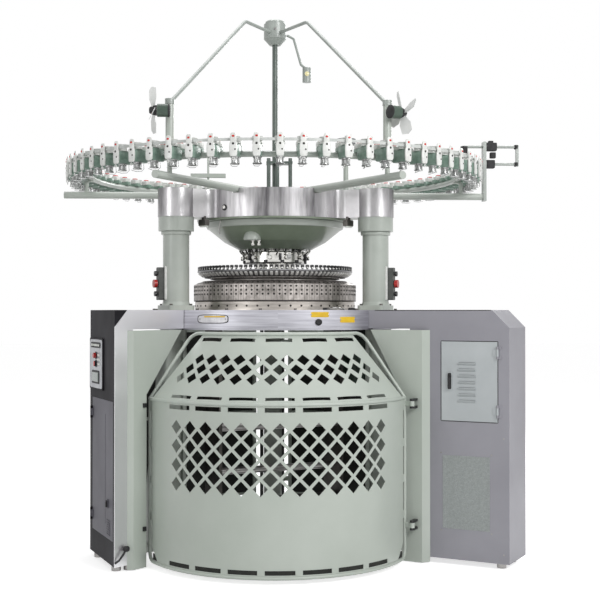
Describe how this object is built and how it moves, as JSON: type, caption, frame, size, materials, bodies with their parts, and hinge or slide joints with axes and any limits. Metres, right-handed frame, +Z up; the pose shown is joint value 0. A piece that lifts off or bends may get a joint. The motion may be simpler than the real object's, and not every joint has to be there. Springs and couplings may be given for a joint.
{
  "type": "circular knitting machine",
  "caption": "Free-standing circular knitting machine with needle cylinder and dial, yarn feeder ring on a raised frame, overhead fans, side cabinets and a perforated front gate.",
  "frame": {"origin": "on the floor, on the axis of the needle cylinder", "axes": "Z up; the gate and the operator side face -Y; the electrical cabinet stands on the +X side"},
  "size_m": [2.63, 2.376, 2.985],
  "materials": {
    "frame_paint": "satin grey-green paint",
    "bowl_paint": "satin darker green paint",
    "cover_paint": "satin grey-green paint",
    "polished_band": "brushed",
    "bed_steel": "ground",
    "cam_steel": "ground",
    "dial_cam_steel": "ground",
    "hub_chrome": "polished",
    "guide_black": "matte",
    "stop_red": "gloss",
    "gear_iron": "oiled",
    "roller_steel": "polished",
    "motor_paint": "satin dark green paint",
    "belt_rubber": "matte",
    "feeder_tube": "satin",
    "feeder_green": "satin green paint",
    "feeder_white": "gloss",
    "tape_black": "matte",
    "mast_paint": "satin dark paint",
    "blade_white": "gloss",
    "pulley_steel": "turned",
    "station_grey": "satin",
    "cabinet_dark": "satin dark paint",
    "face_silver": "satin silver paint",
    "door_grey": "satin grey paint",
    "cabinet_grey": "satin grey paint",
    "door_pale": "satin pale green-grey paint"
  },
  "bodies": {
    "machine": {"base_frame": "frame_paint", "legs": "frame_paint", "columns": "frame_paint", "top_plate": "frame_paint", "ring_supports": "frame_paint", "quality_stands": "frame_paint", "dial_bridge": "bowl_paint", "leg_covers": "cover_paint", "bed_trim": "polished_band", "top_trim": "polished_band", "bed_plate": "bed_steel", "cam_ring_base": "bed_steel", "cam_ring": "cam_steel", "dial_cam_ring": "dial_cam_steel", "dial_hub": "hub_chrome", "yarn_guides": "guide_black", "gate_hinges": "guide_black", "levelling_feet": "roller_steel", "main_motor": "motor_paint", "fan_motors": "motor_paint", "drive_belt": "belt_rubber", "feeder_ring": "feeder_tube", "feeder_housings": "feeder_green", "feeder_rotors": "feeder_white", "feeder_belt": "tape_black", "mast": "mast_paint", "mast_hub": "mast_paint", "mast_arms": "mast_paint", "belt_tensioner": "mast_paint", "switch_stations": "station_grey", "cabinet_left": "cabinet_dark", "left_face_cover": "face_silver", "cabinet_right": "cabinet_grey"},
    "cylinder": {"needle_cylinder": "cam_steel", "main_gear": "gear_iron", "takedown_frame": "gear_iron"},
    "dial": {"dial": "cam_steel"},
    "draw_front": {"draw_roller_front": "roller_steel"},
    "draw_middle": {"draw_roller_middle": "roller_steel"},
    "draw_rear": {"draw_roller_rear": "roller_steel"},
    "winding_shaft": {"fabric_shaft": "roller_steel"},
    "pinion_shaft": {"drive_shaft": "roller_steel"},
    "motor_wheel": {"motor_pulley": "roller_steel"},
    "quality_wheel": {"quality_pulley": "pulley_steel"},
    "fan_left": {"fan_blades_left": "blade_white"},
    "fan_right": {"fan_blades_right": "blade_white"},
    "front_gate": {"gate_frame": "cover_paint", "gate_lower_panel": "cover_paint", "gate_upper_panel": "cover_paint"},
    "gate_rear_left": {"rear_gate_left": "cover_paint"},
    "gate_rear_right": {"rear_gate_right": "cover_paint"},
    "cabinet_door": {"electrical_door": "door_pale"},
    "side_door": {"left_door": "door_grey"},
    "stop_left": {"stop_button_left": "stop_red"},
    "stop_right": {"stop_button_right": "stop_red"},
    "start_left": {"start_button_left": "guide_black"},
    "start_right": {"start_button_right": "guide_black"},
    "jog_left": {"jog_button_left": "guide_black"},
    "jog_right": {"jog_button_right": "guide_black"},
    "stop_panel": {"panel_stop_button": "stop_red"}
  },
  "joints": [
    {"name": "cylinder_turn", "type": "hinge", "parent": "machine", "child": "cylinder", "pos_m": [0, 0, 1.25], "axis": [0, 0, 1], "continuous": true},
    {"name": "dial_turn", "type": "hinge", "parent": "machine", "child": "dial", "pos_m": [0, 0, 1.5], "axis": [0, 0, 1], "continuous": true},
    {"name": "draw_front_turn", "type": "hinge", "parent": "cylinder", "child": "draw_front", "pos_m": [0.02318, -0.05207, 0.66], "axis": [0.9135, 0.4067, 0], "continuous": true},
    {"name": "draw_middle_turn", "type": "hinge", "parent": "cylinder", "child": "draw_middle", "pos_m": [0, 0, 0.66], "axis": [0.9135, 0.4067, 0], "continuous": true},
    {"name": "draw_rear_turn", "type": "hinge", "parent": "cylinder", "child": "draw_rear", "pos_m": [-0.02318, 0.05207, 0.66], "axis": [0.9135, 0.4067, 0], "continuous": true},
    {"name": "winding_turn", "type": "hinge", "parent": "cylinder", "child": "winding_shaft", "pos_m": [0, 0, 0.4], "axis": [0.9135, 0.4067, 0], "continuous": true},
    {"name": "pinion_turn", "type": "hinge", "parent": "machine", "child": "pinion_shaft", "pos_m": [0.38782, 0.26159, 1.2], "axis": [0, 0, 1], "continuous": true},
    {"name": "motor_turn", "type": "hinge", "parent": "machine", "child": "motor_wheel", "pos_m": [0.49742, 0.33552, 1.177], "axis": [0, 0, 1], "continuous": true},
    {"name": "quality_turn", "type": "hinge", "parent": "machine", "child": "quality_wheel", "pos_m": [0.40267, -0.1004, 2.27], "axis": [0, 0, 1], "continuous": true},
    {"name": "fan_left_turn", "type": "hinge", "parent": "machine", "child": "fan_left", "pos_m": [-0.57465, -0.99532, 2.288], "axis": [-1, 0, 0], "continuous": true},
    {"name": "fan_right_turn", "type": "hinge", "parent": "machine", "child": "fan_right", "pos_m": [0.57465, -0.99532, 2.288], "axis": [0.866, 0.5, 0], "continuous": true},
    {"name": "gate_swing", "type": "hinge", "parent": "machine", "child": "front_gate", "pos_m": [0.69, -0.752, 0.5], "axis": [0, 0, 1], "range_deg": [0, 80]},
    {"name": "rear_left_swing", "type": "hinge", "parent": "machine", "child": "gate_rear_left", "pos_m": [-0.068, 0.862, 0.6], "axis": [0, 0, -1], "range_deg": [0, 90]},
    {"name": "rear_right_swing", "type": "hinge", "parent": "machine", "child": "gate_rear_right", "pos_m": [0.068, 0.862, 0.6], "axis": [0, 0, 1], "range_deg": [0, 90]},
    {"name": "cabinet_door_swing", "type": "hinge", "parent": "machine", "child": "cabinet_door", "pos_m": [1.10342, -0.89282, 0.9445], "axis": [0, 0, 1], "range_deg": [0, 110]},
    {"name": "side_door_swing", "type": "hinge", "parent": "machine", "child": "side_door", "pos_m": [-0.98752, -0.47788, 0.501], "axis": [0, 0, -1], "range_deg": [0, 110]},
    {"name": "start_left_press", "type": "slide", "parent": "machine", "child": "start_left", "axis": [0.9272, 0.3746, 0], "range_m": [0, 0.005], "stiffness_N_per_m": 300},
    {"name": "stop_left_press", "type": "slide", "parent": "machine", "child": "stop_left", "axis": [0.9272, 0.3746, 0], "range_m": [0, 0.005], "stiffness_N_per_m": 300},
    {"name": "jog_left_press", "type": "slide", "parent": "machine", "child": "jog_left", "axis": [0.9272, 0.3746, 0], "range_m": [0, 0.005], "stiffness_N_per_m": 300},
    {"name": "start_right_press", "type": "slide", "parent": "machine", "child": "start_right", "axis": [-0.9272, 0.3746, 0], "range_m": [0, 0.005], "stiffness_N_per_m": 300},
    {"name": "stop_right_press", "type": "slide", "parent": "machine", "child": "stop_right", "axis": [-0.9272, 0.3746, 0], "range_m": [0, 0.005], "stiffness_N_per_m": 300},
    {"name": "jog_right_press", "type": "slide", "parent": "machine", "child": "jog_right", "axis": [-0.9272, 0.3746, 0], "range_m": [0, 0.005], "stiffness_N_per_m": 300},
    {"name": "stop_panel_press", "type": "slide", "parent": "machine", "child": "stop_panel", "axis": [0.9304, 0.3665, 0], "range_m": [0, 0.005], "stiffness_N_per_m": 300}
  ],
  "couplings": [
    {"joint": "dial_turn", "follows": "cylinder_turn", "ratio": 1},
    {"joint": "draw_front_turn", "follows": "cylinder_turn", "ratio": 0.35},
    {"joint": "draw_middle_turn", "follows": "cylinder_turn", "ratio": -0.35},
    {"joint": "draw_rear_turn", "follows": "cylinder_turn", "ratio": 0.35},
    {"joint": "winding_turn", "follows": "cylinder_turn", "ratio": 0.49},
    {"joint": "pinion_turn", "follows": "cylinder_turn", "ratio": -10},
    {"joint": "motor_turn", "follows": "cylinder_turn", "ratio": -10}
  ]
}
